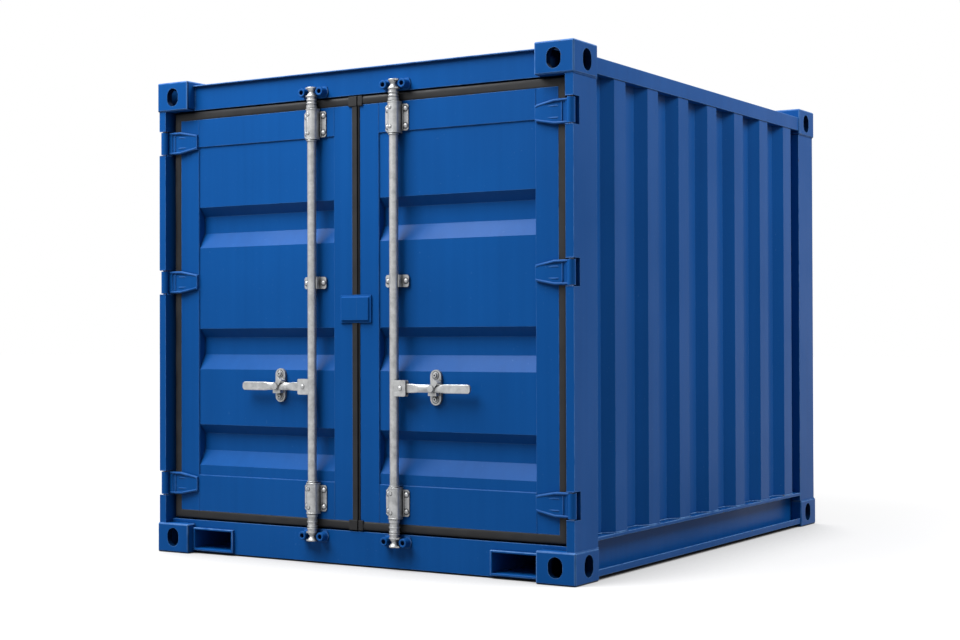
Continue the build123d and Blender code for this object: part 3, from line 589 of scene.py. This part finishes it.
def round_the_steel():
    """Rounds bends and edges of the painted and galvanised pieces."""
    for level in ("bottom", "top"):
        for end in ("front", "rear"):
            casting_pair(f"{end}_{level}_castings")
    # Rounded bends are made paler, by the last number given or by default, for scuffing and a painted highlight
    for node in ("front_header", "rear_header", "front_sill", "rear_sill"):
        rounded(node, 0.003)
    rounded("rear_wall", 0.007, 4, 0.12)
    rounded("roof", 0.006, 3, 0.12)
    for side in SIGN:
        rounded(f"side_wall_{side}", 0.007, 4, 0.12)
        rounded(f"door_panel_{side}", 0.008, 4, 0.10)
        for node in ("front_post", "rear_post"):
            rounded(f"{node}_{side}", 0.0045, 4)
        for node in ("top_side_rail", "bottom_side_rail"):
            rounded(f"{node}_{side}", 0.003)
        rounded(f"lock_rod_{side}", 0.0008, 2)
        rounded(f"fork_pocket_{side}", 0.003, 4, 1.0)
        rounded(f"door_frame_{side}", 0.0012, 2)
        rounded(f"hinge_blades_{side}", 0.0016, 2, 0.3)
        rounded(f"hasp_{side}", 0.0008, 2)
        rounded(f"catch_plate_{side}", 0.001, 2)
        rounded(f"rod_bearings_{side}", 0.001, 2)


def bolts_and_rivets(side):
    """Fixings of a door's bearings, guide and catch plate, and the ridges beside the bearings."""
    bm = bmesh.new()
    rod_x = joints[f"{side}_rod_turn"]["pos_m"][0]
    leaf_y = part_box(f"door_frame_{side}")[0].y
    face = leaf_y - FLANGE_DEPTH
    for low, high in islands(f"rod_bearings_{side}"):
        middle = (low.z + high.z) / 2
        is_guide = high.z - low.z < GUIDE_HEIGHT
        for across in (-0.040, 0.040):
            for up in ((0.0,) if is_guide else (-0.032, 0.032)):
                centre = (rod_x + across, face, middle + up)
                # Each bolt sits in a ring of painted shade
                shade_ring(bm, centre, 0.0122)
                rivet(bm, centre, 0.0098, 0.80)
        if is_guide:
            continue
        for up in (-0.036, 0.036):
            centre = (rod_x - 0.0040, low.y, middle + up)
            # Each bolt sits in a ring of painted shade
            shade_ring(bm, centre, 0.0078)
            head = (centre[0] - 0.0008, low.y - 0.0001, centre[2] + 0.0006)
            rivet(bm, head, 0.0058, 0.26)
        ends = [
            (low.z + 0.012, 0.0012),
            (low.z + 0.015, 0.0),
            (high.z - 0.015, 0.0),
            (high.z - 0.012, 0.0012),
        ]
        for across in (-0.0295, 0.0295):
            ridge_x = rod_x + across
            ridge = []
            for z, thin in ends:
                crest = face - 0.0036 + 2 * thin
                ridge.append([
                    (ridge_x - 0.0022, face + 0.001, z),
                    (ridge_x - 0.0014, crest, z),
                    (ridge_x + 0.0014, crest, z),
                    (ridge_x + 0.0022, face + 0.001, z),
                ])
            loft(bm, ridge)
    low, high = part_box(f"catch_plate_{side}")
    for z in (low.z + 0.021, high.z - 0.021):
        centre = ((low.x + high.x) / 2, leaf_y - CATCH_DEPTH, z)
        # Each bolt sits in a ring of painted shade
        shade_ring(bm, centre, 0.0155)
        bolt(bm, centre, size=0.0135, hole=0.26)
    finish_piece(f"bearing_bolts_{side}", bm, "galvanised_steel", f"{side}_door")


def turned_ring(bm, x, y, z, radius, half, inner):
    """Adds a rounded ring round an upright rod."""
    profile = [
        (inner, -half),
        (radius - RING_ROUND, -half),
        (radius, -half * 0.55),
        (radius, half * 0.55),
        (radius - RING_ROUND, half),
        (inner, half),
    ]
    lathe(bm, (x, y, z), UP, profile, 42)


def rod_rings(side):
    """Rings turned on a lock rod beside its bearings, on its sleeves and on its cams' ends."""
    bm = bmesh.new()
    x, y = joints[f"{side}_rod_turn"]["pos_m"][:2]
    bearings = islands(f"rod_bearings_{side}")
    lower, upper = bearings[0], bearings[-1]
    turned_ring(bm, x, y, lower[1].z + 0.0040, 0.0206, 0.0025, 0.0165)
    turned_ring(bm, x, y, upper[0].z - 0.0040, 0.0206, 0.0025, 0.0165)
    for drop in (0.0300, 0.0470, 0.0560):
        turned_ring(bm, x, y, lower[0].z - drop, 0.0203, 0.0030, 0.0175)
    for rise in (0.0200, 0.0330):
        turned_ring(bm, x, y, upper[1].z + rise, 0.0203, 0.0032, 0.0175)
    low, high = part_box(f"lock_rod_{side}")
    for end, step in ((low.z, 1), (high.z, -1)):
        turned_ring(bm, x, y, end + step * 0.0030, 0.0204, 0.0028, 0.0105)
        turned_ring(bm, x, y, end + step * 0.0345, 0.0206, 0.0030, 0.0105)
    pivot = joints[f"{side}_handle_lift"]["pos_m"]
    cheek = cad_low.y + 0.005
    rivet(bm, (pivot[0], cheek, pivot[2]), 0.0085, 0.50)
    finish_piece(f"rod_rings_{side}", bm, "galvanised_steel", f"{side}_lock_rod")


def bearing_hoops(side):
    """Raised hoops round both ends of the bearing housings."""
    bm = bmesh.new()
    x = joints[f"{side}_rod_turn"]["pos_m"][0]
    reach = HOUSING_ROUND + HOOP_RISE
    for low, high in islands(f"rod_bearings_{side}"):
        if high.z - low.z < GUIDE_HEIGHT:
            continue
        back_y = high.y - FLANGE_DEPTH
        outline = [(x + HOUSING_HALF + HOOP_RISE, back_y)]
        for corner, start in ((1, 0.0), (-1, math.pi / 2)):
            for step in range(9):
                angle = start + math.pi / 2 * step / 8
                outline.append((
                    x + corner * (HOUSING_HALF - HOUSING_ROUND) + reach * math.cos(angle),
                    low.y + HOUSING_ROUND - reach * math.sin(angle),
                ))
        outline.append((x - HOUSING_HALF - HOOP_RISE, back_y))
        for bottom, top in ((low.z, low.z + HOOP_HEIGHT), (high.z - HOOP_HEIGHT, high.z)):
            levels = [
                (RING_ROUND, bottom),
                (0.0, bottom + RING_ROUND),
                (0.0, top - RING_ROUND),
                (RING_ROUND, top),
            ]
            rings = []
            for shrink, z in levels:
                ring = []
                for px, py in outline:
                    pull = Vector((x - px, max(0.0, low.y + HOUSING_HALF - py)))
                    if pull.length > 0:
                        pull = pull.normalized() * shrink
                    ring.append((px + pull.x, py + pull.y, z))
                rings.append(ring)
            loft(bm, rings)
    finish_piece(f"bearing_hoops_{side}", bm, "galvanised_steel", f"{side}_door")


def handle(side):
    """Flat bar handle, forged to a ridge where the hasp and the catch hold it."""
    sign = SIGN[side]
    low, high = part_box(f"handle_{side}")
    rod_x = joints[f"{side}_rod_turn"]["pos_m"][0]
    z = joints[f"{side}_handle_lift"]["pos_m"][2]
    reach = max(abs(low.x), abs(high.x)) - abs(rod_x)
    flat, narrow, edge = 0.0165, 0.0145, 0.0018
    end_round, pivot_round = 0.010, 0.016
    # By distance from the rod's axis: half height, height of the bevels, and their depth
    heights = [
        (0.0, flat), (0.082, flat), (0.108, narrow), (0.206, narrow), (0.232, flat), (1.0, flat),
    ]
    ridges = [
        (0.0, edge), (0.084, edge), (0.124, 0.0085), (0.192, 0.0085), (0.236, edge), (1.0, edge),
    ]
    slants = [
        (0.0, edge), (0.084, edge), (0.124, 0.0066), (0.192, 0.0066), (0.236, edge), (1.0, edge),
    ]
    places = [0.024, 0.030, 0.050] + [0.080 + 0.004 * step for step in range(42)] + [0.260, 0.300]
    places += [reach - end_round * (1 - math.sin(math.pi / 2 * step / 6)) for step in range(7)]
    rings = []
    for place in places:
        half = blend(place, heights)
        over = max(0.0, place - (reach - end_round))
        half -= end_round - math.sqrt(max(0.0, end_round ** 2 - over ** 2))
        if place < 0.036:
            half = math.sqrt(max(0.0, pivot_round ** 2 - (0.036 - place) ** 2))
        ridge = min(blend(place, ridges), half * 0.8)
        slant = blend(place, slants)
        ring = [
            (low.y, half - ridge),
            (low.y + slant, half),
            (high.y - edge, half),
            (high.y, half - edge),
            (high.y, edge - half),
            (high.y - edge, -half),
            (low.y + slant, -half),
            (low.y, ridge - half),
        ]
        x = rod_x + sign * place
        rings.append([(x, spot_y, z + spot_z) for spot_y, spot_z in ring])
    bm = bmesh.new()
    loft(bm, rings)
    piece = finish_piece(f"handle_{side}_shape", bm, "galvanised_steel", f"{side}_handle")
    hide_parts(f"handle_{side}")


def door_seal(side):
    """Rubber seal: a rounded bead round the leaf, and a strip with lapped ends at the middle."""
    sign = SIGN[side]
    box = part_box(f"door_seal_{side}")
    low, high = box
    leaf_low, leaf_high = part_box(f"door_frame_{side}")
    seam = outer_x(box, -sign)
    outer = outer_x(box, sign)
    width = leaf_low.z - low.z
    front = leaf_low.y - 0.004
    crown, outer_drop, inner_drop = 0.013, 0.0095, 0.0050
    section = [(0.0, high.y)]
    for step in range(13):
        w = width * step / 12
        if w < crown:
            drop = outer_drop * (1 - math.sqrt(1 - (1 - w / crown) ** 2))
        else:
            drop = inner_drop * (1 - math.sqrt(1 - ((w - crown) / (width - crown)) ** 2))
        section.append((w, front + 0.0002 + drop))
    section.append((width, high.y))
    corners = [
        (seam, high.z, 0, -1),
        (outer, high.z, -sign, -1),
        (outer, low.z, -sign, 1),
        (seam, low.z, 0, 1),
    ]
    bm = bmesh.new()
    loft(bm, [[(x + w * dx, y, z + w * dz) for w, y in section] for x, z, dx, dz in corners])
    edge = (sign * 0.018) if abs(seam) < 0.018 else seam
    strip = [
        (seam, front + 0.0016),
        (seam + sign * 0.0016, front),
        (edge - sign * 0.0016, front + 0.0006),
        (edge, front + 0.0030),
        (edge, high.y),
        (seam, high.y),
    ]
    loft(bm, [[(x, y, z) for x, y in strip] for z in (low.z + 0.004, high.z - 0.004)])
    proud = low.y
    lap = sign * 0.033
    levels = [
        (0.0, front + 0.012),
        (0.0, proud + 0.0030),
        (0.0012, proud + 0.0008),
        (0.0035, proud),
    ]
    laps = [
        (low.z - 0.0002, leaf_low.z + 0.005),
        (leaf_high.z - 0.005, high.z + 0.0002),
    ]
    for start, end in laps:
        rings = []
        for inset, y in levels:
            far = lap - sign * inset
            rings.append([
                (seam, y, start + inset),
                (seam, y, end - inset),
                (far, y, end - inset),
                (far, y, start + inset),
            ])
        loft(bm, rings)
    piece = finish_piece(f"door_seal_{side}_shape", bm, "black_rubber", f"{side}_door")
    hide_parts(f"door_seal_{side}")


def blade_rims(side):
    """Rims and ribs pressed into the hinge blades, with an upright one beside the barrel."""
    sign = SIGN[side]
    pin_x = joints[f"{side}_door_hinge"]["pos_m"][0]
    # By point: distance from the pin, height above the blade's middle, radius, and how far back
    outer_rim = [
        (0.016, 0.0400, 0.0040, 0.0),
        (0.050, 0.0400, 0.0048, 0.0),
        (0.075, 0.0395, 0.0048, 0.0),
        (0.110, 0.0330, 0.0048, 0.0030),
        (0.147, 0.0258, 0.0044, 0.0062),
        (0.1545, 0.0220, 0.0034, 0.0072),
    ]
    inner_rib = [
        (0.060, 0.0200, 0.0012, 0.0034),
        (0.064, 0.0212, 0.0032, 0.0034),
        (0.085, 0.0212, 0.0036, 0.0040),
        (0.122, 0.0180, 0.0032, 0.0066),
        (0.126, 0.0165, 0.0012, 0.0070),
    ]
    upright = [(-0.034, 0.0016), (-0.031, 0.0030), (0.031, 0.0030), (0.034, 0.0016)]
    angles = [2 * math.pi * step / 12 for step in range(12)]
    bm = bmesh.new()
    for low, high in islands(f"hinge_blades_{side}"):
        middle = (low.z + high.z) / 2
        face = low.y + BLADE_DEPTH
        for up in (-1, 1):
            for line in (outer_rim, inner_rib):
                rings = []
                for reach, rise, size, back in line:
                    rings.append([
                        (
                            pin_x - sign * reach,
                            face + back + 0.0012 - size * 0.75 * math.cos(angle),
                            middle + up * rise + size * math.sin(angle),
                        )
                        for angle in angles
                    ])
                loft(bm, rings)
        rings = []
        for rise, size in upright:
            rings.append([
                (
                    pin_x - sign * 0.044 + size * math.sin(angle),
                    face + 0.0034 - size * math.cos(angle),
                    middle + rise,
                )
                for angle in angles
            ])
        loft(bm, rings)
    # Rims made a little paler: scuffing and a painted highlight
    mark_wear_and_light(bm, 0.16)
    finish_piece(f"blade_rims_{side}", bm, "blue_paint", f"{side}_door")


def header_ledge():
    """Folded ledge along the top of the front header."""
    low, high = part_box("front_header")
    thick, reach, fold = 0.005, 0.0135, 0.0015
    section = [
        (low.y + 0.002, 0.0),
        (low.y - reach + fold, 0.0),
        (low.y - reach, fold),
        (low.y - reach, thick - fold),
        (low.y - reach + fold, thick),
        (low.y + 0.002, thick),
    ]
    bm = bmesh.new()
    loft(bm, [[(x, y, high.z - thick + z) for y, z in section] for x in (low.x, high.x)])
    # Ledge made paler: scuffing and a painted highlight
    mark_wear_and_light(bm, 0.5)
    finish_piece("header_ledge", bm, "blue_paint", "frame")


def hasp_boss(side):
    """Domed head of the pin that a hasp turns on."""
    bm = bmesh.new()
    x, _, z = joints[f"{side}_hasp_swivel"]["pos_m"]
    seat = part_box(f"hasp_{side}")[0].y + 0.0080
    profile = [
        (0.0126, 0.0),
        (0.0126, 0.0062),
        (0.0120, 0.0074),
        (0.0104, 0.0082),
        (0.0040, 0.0086),
    ]
    lathe(bm, (x, seat, z), FRONT, profile, 32)
    finish_piece(f"hasp_boss_{side}", bm, "galvanised_steel", f"{side}_hasp")


def keepers():
    """Round-cornered plates with hollow bosses each side of the cams."""
    bm = bmesh.new()
    rods = [joints[f"{side}_rod_turn"]["pos_m"][0] for side in SIGN]
    boss, corner = 0.0168, 0.008
    for low, high in islands("cam_keepers"):
        middle = (low + high) / 2
        rod_x = min(rods, key=lambda x: abs(middle.x - x))
        side = 1 if middle.x > rod_x else -1
        inner = low.x if side > 0 else high.x
        face = high.y
        depth = high.y - low.y
        across = (high.x - low.x) / 2 - corner
        upright = (high.z - low.z) / 2 - corner
        rings = []
        for inset, y in ((0.0, face), (0.0, face - 0.0035), (0.0012, face - 0.0050)):
            ring = []
            for cx, cz, start in ((1, 1, 0.0), (-1, 1, 0.5), (-1, -1, 1.0), (1, -1, 1.5)):
                for step in range(6):
                    angle = math.pi * (start + 0.5 * step / 5)
                    ring.append((
                        middle.x + cx * across + (corner - inset) * math.cos(angle),
                        y,
                        middle.z + cz * upright + (corner - inset) * math.sin(angle),
                    ))
            rings.append(ring)
        loft(bm, rings)
        profile = [
            (0.0200, 0.0045),
            (0.0178, 0.0065),
            (boss, 0.0095),
            (boss, depth - 0.0034),
            (0.0162, depth - 0.0010),
            (0.0148, depth),
            (0.0104, depth),
            (0.0088, depth - 0.0014),
            (0.0084, depth - 0.0150),
            (0.0010, depth - 0.0150),
        ]
        lathe(bm, (inner + side * boss, face, middle.z), FRONT, profile, 32)
    # Faintly paler keepers: scuffing and a painted highlight
    mark_wear_and_light(bm, 0.05)
    piece = finish_piece("cam_keepers_shape", bm, "blue_paint", "frame")
    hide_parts("cam_keepers")


def cover_plate(side):
    """Half of the pressed plate over the joint between the doors, with slanted margins."""
    sign = SIGN[side]
    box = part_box(f"cover_plate_{side}")
    low, high = box
    seam = 0.0096 if side == "left" else 0.0094
    outer = outer_x(box, sign)
    back, front = high.y, low.y + 0.005
    corner = 0.005
    # How far each level of the plate is drawn in, and its Y
    levels = (
        (0.0, back),
        (0.0, back - 0.0050),
        (0.0010, back - 0.0062),
        (0.0065, back - 0.0066),
        (0.0080, back - 0.0080),
        (0.0088, front + 0.0022),
        (0.0108, front),
    )
    rings = []
    for inset, y in levels:
        far = outer - sign * inset
        top, bottom = high.z - inset, low.z + inset
        ring = [(seam, y, bottom), (seam, y, top)]
        for z, turn in ((top, 1), (bottom, -1)):
            for step in range(5):
                angle = math.pi / 2 * (step / 4 if turn > 0 else 1 - step / 4)
                ring.append((
                    far - sign * corner * (1 - math.sin(angle)),
                    y,
                    z - turn * corner * (1 - math.cos(angle)),
                ))
        rings.append(ring)
    bm = bmesh.new()
    loft(bm, rings)
    # Holds back the paleness of scuffing and painted highlight on the plate's edges
    mark_wear_and_light(bm, -0.6)
    piece = finish_piece(f"cover_plate_{side}_shape", bm, "blue_paint", f"{side}_door")
    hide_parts(f"cover_plate_{side}")


def door_welds(side):
    """Weld beads round a door's panel, and seams across the rails above and below it."""
    low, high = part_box(f"door_panel_{side}")
    leaf_low, leaf_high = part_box(f"door_frame_{side}")
    y = leaf_low.y + 0.0045
    seam_y = leaf_low.y + 0.0006
    corners = [
        (low.x, y, low.z),
        (high.x, y, low.z),
        (high.x, y, high.z),
        (low.x, y, high.z),
        (low.x, y, low.z),
    ]
    bm = bmesh.new()
    weld(bm, corners, PANEL_WELD)
    for x in (low.x, high.x):
        for start, end in ((leaf_low.z, low.z), (high.z, leaf_high.z)):
            weld(bm, [(x, seam_y, start), (x, seam_y, end)], PANEL_WELD, 0.013, 0.30)
    # Holds back the paleness of scuffing and painted highlight on the beads
    mark_wear_and_light(bm, -0.25)
    finish_piece(f"panel_weld_{side}", bm, "blue_paint", f"{side}_door")


def wall_seams(side):
    """Weld bead between a corrugated side wall and the bottom rail that it stands on."""
    sign = SIGN[side]
    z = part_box(f"bottom_side_rail_{side}")[1].z + 0.0016
    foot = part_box(f"side_wall_{side}")[0].z
    outline = {}
    for vertex in nodes[f"side_wall_{side}"].data.vertices:
        x, y, height = vertex.co
        if height - foot < 0.001:
            reach = outline.get(round(y, 4))
            if reach is None or sign * x > sign * reach:
                outline[round(y, 4)] = x
    bm = bmesh.new()
    weld(bm, [(x + sign * 0.0022, y, z) for y, x in sorted(outline.items())], 0.0034)
    # Pale bead: scuffing and a painted highlight
    mark_wear_and_light(bm, 1.6)
    finish_piece(f"wall_seam_{side}", bm, "blue_paint", "frame")


def frame_welds():
    """Weld beads at the ends of posts and header, and beside the hinges' notches."""
    bm = bmesh.new()
    for side, sign in SIGN.items():
        box = low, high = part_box(f"front_post_{side}")
        outer, y = outer_x(box, sign), low.y + 0.0024
        for z in (low.z, high.z):
            weld(bm, [(outer - sign * NOSE_WIDTH, y, z), (outer, y, z), (outer, high.y, z)], 0.003)
        box = low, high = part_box(f"rear_post_{side}")
        outer, inner, y = outer_x(box, sign), outer_x(box, -sign), high.y - 0.003
        for z in (low.z, high.z):
            weld(bm, [(outer, low.y, z), (outer, y, z), (inner, y, z)], 0.003)
    low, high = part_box("front_header")
    for x in (low.x + 0.002, high.x - 0.002):
        ends = [(x, low.y, high.z - HEADER_HEIGHT), (x, low.y, high.z - 0.006)]
        weld(bm, ends, 0.0042, 0.010, 0.34)
    for side, sign in SIGN.items():
        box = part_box(f"front_post_{side}")
        outer, y = outer_x(box, sign), box[0].y + 0.0005
        for blade_low, blade_high in islands(f"hinge_blades_{side}"):
            for z in (blade_low.z - NOTCH_GAP, blade_high.z + NOTCH_GAP):
                weld(bm, [(outer - sign * NOSE_WIDTH, y, z), (outer - sign * 0.002, y, z)], 0.0022)
    finish_piece("frame_weld", bm, "blue_paint", "frame")


def surfaces():
    """Gives every CAD node the material of its slot."""
    for name, node in nodes.items():
        node.data.materials.clear()
        node.data.materials.append(materials[slot_of[name]])
        node.data.polygons.foreach_set("use_smooth", [True] * len(node.data.polygons))
        node.data.set_sharp_from_angle(angle=SHARP_ANGLE)


def stage():
    """Pale floor: white to the camera apart from its shadow, and dull to what stands on it."""
    bm = bmesh.new()
    bmesh.ops.create_grid(bm, x_segments=1, y_segments=1, size=FLOOR_SIZE)
    mesh = bpy.data.meshes.new("floor_stage")
    bm.to_mesh(mesh)
    bm.free()
    material = bpy.data.materials.new("stage_white")
    material.use_nodes = True
    net = Net(material.node_tree)
    material.node_tree.nodes.clear()
    seen = background_rays(net)
    ground = net.add("BsdfDiffuse", None, Color=FLOOR_SHADE).outputs[0]
    where = net.add("TexCoord").outputs["Object"]
    distance = net.add("VectorMath", {"operation": "LENGTH"}, i0=where).outputs["Value"]
    strength = net.spread(distance, GLOW_START, GLOW_END, FLOOR_GLOW, 1.0)
    shadow = net.spread(net.openness(SHADOW_REACH, 16), 0.10, 0.76)
    strength = net.math("MULTIPLY", strength, shadow)
    glow = net.add("Emission", None, Color=WHITE, Strength=strength).outputs[0]
    bright = net.add("AddShader", None, i0=ground, i1=glow).outputs[0]
    dull = net.add("BsdfDiffuse", None, Color=FLOOR_BOUNCE).outputs[0]
    surface = net.add("MixShader", None, Fac=seen, i1=dull, i2=bright).outputs[0]
    output = net.add("OutputMaterial")
    net.tree.links.new(surface, output.inputs["Surface"])
    mesh.materials.append(material)
    plane = link("floor_stage", mesh)
    plane.location.z = FLOOR_LEVEL


def background_rays(net):
    """Is 1 for rays that see the background: from the camera, in a reflection or through glass."""
    path = net.add("LightPath").outputs
    seen = net.math("ADD", path["Is Camera Ray"], path["Is Glossy Ray"])
    return net.math("MINIMUM", net.math("ADD", seen, path["Is Transmission Ray"]), 1.0)


def area_light(name, place, target, size, power):
    """Square soft lamp at a place, turned towards a target."""
    lamp = bpy.data.lights.new(name, "AREA")
    lamp.shape = "SQUARE"
    lamp.size = size
    lamp.energy = power
    item = bpy.data.objects.new(name, lamp)
    bpy.context.scene.collection.objects.link(item)
    item.location = place
    item.rotation_euler = (Vector(target) - Vector(place)).to_track_quat("-Z", "Y").to_euler()


def light():
    """Soft lamps overhead and on the right, and a surround that is white where it is seen."""
    for lamp in LAMPS:
        area_light(*lamp)
    world = bpy.data.worlds.new("surround")
    bpy.context.scene.world = world
    world.use_nodes = True
    net = Net(world.node_tree)
    world.node_tree.nodes.clear()
    white = net.math("MULTIPLY", background_rays(net), 1.0 - SURROUND)
    strength = net.math("ADD", SURROUND, white)
    shade = net.add("Background", None, Color=WHITE, Strength=strength).outputs[0]
    output = net.add("OutputWorld")
    net.tree.links.new(shade, output.inputs["Surface"])


def camera():
    """Camera at the photograph's viewpoint."""
    forward = Vector((
        math.sin(CAMERA_YAW) * math.cos(CAMERA_PITCH),
        math.cos(CAMERA_YAW) * math.cos(CAMERA_PITCH),
        math.sin(CAMERA_PITCH),
    ))
    level = forward.cross(Vector((0, 0, 1))).normalized()
    upright = level.cross(forward)
    right = math.cos(CAMERA_ROLL) * level + math.sin(CAMERA_ROLL) * upright
    up = right.cross(forward)
    data = bpy.data.cameras.new("camera")
    data.sensor_fit = "HORIZONTAL"
    data.sensor_width = CAMERA_SENSOR
    data.lens = CAMERA_LENS
    item = bpy.data.objects.new("camera", data)
    bpy.context.scene.collection.objects.link(item)
    turn = Matrix((right, up, -forward)).transposed().to_4x4()
    item.matrix_world = Matrix.Translation(CAMERA_PLACE) @ turn
    bpy.context.scene.camera = item


paint_material()
zinc_material()
rubber_material()
wood_material()
surfaces()
round_the_steel()
for side in SIGN:
    bolts_and_rivets(side)
    rod_rings(side)
    bearing_hoops(side)
    handle(side)
    hasp_boss(side)
    door_seal(side)
    blade_rims(side)
    cover_plate(side)
    door_welds(side)
    wall_seams(side)
keepers()
header_ledge()
frame_welds()
stage()
light()
camera()
bpy.context.scene.view_settings.view_transform = "Standard"
